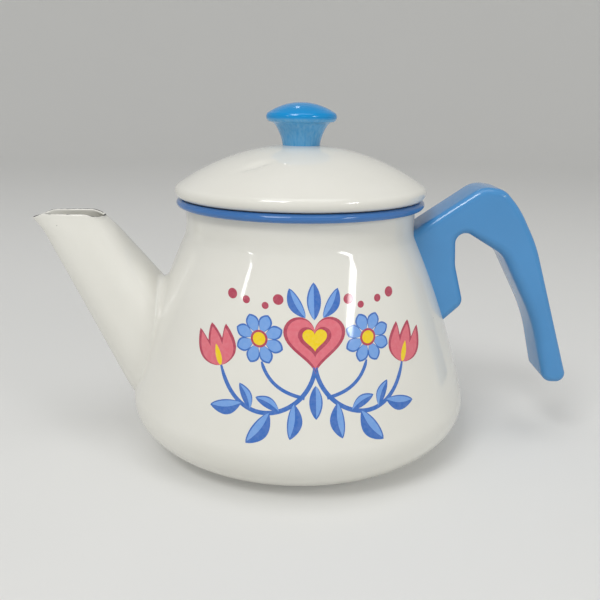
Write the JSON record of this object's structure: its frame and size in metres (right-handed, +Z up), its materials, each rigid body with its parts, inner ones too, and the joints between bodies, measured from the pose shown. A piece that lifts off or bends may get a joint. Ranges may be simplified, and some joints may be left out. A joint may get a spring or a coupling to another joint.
{
  "type": "enamelled kettle",
  "caption": "Squat white enamelled steel kettle with a straight tapered pouring spout, blue rolled rim, domed lift-off lid with a knob and a moulded blue side handle.",
  "frame": {"origin": "centre of the foot ring, in the plane of the table it stands on", "axes": "+Z up along the pot's axis, +X towards the handle, -X towards the spout, Y across"},
  "size_m": [0.2824, 0.177, 0.1787],
  "materials": {
    "white_enamel": "glossy vitreous enamel on pressed steel",
    "blue_enamel": "glossy vitreous enamel on the rolled edge",
    "handle_plastic": "moulded thermoset with a soft sheen",
    "knob_plastic": "moulded thermoset with a soft sheen",
    "steel": "zinc plated",
    "brass": "turned",
    "gasket_rubber": "plain moulded rubber"
  },
  "bodies": {
    "pot": {"body_shell": "white_enamel", "mouth_rim": "blue_enamel", "spout": "white_enamel", "handle_bracket": "steel", "handle": "handle_plastic", "handle_washer": "steel", "handle_screw": "steel"},
    "lid": {"lid_shell": "white_enamel", "lid_skirt": "white_enamel", "knob": "knob_plastic", "knob_insert": "brass", "knob_gasket": "gasket_rubber", "knob_washer": "steel", "knob_screw": "steel"}
  },
  "joints": [
    {"name": "lid_lift", "type": "slide", "parent": "pot", "child": "lid", "axis": [0, 0, 1], "range_m": [0, 0.08]}
  ]
}
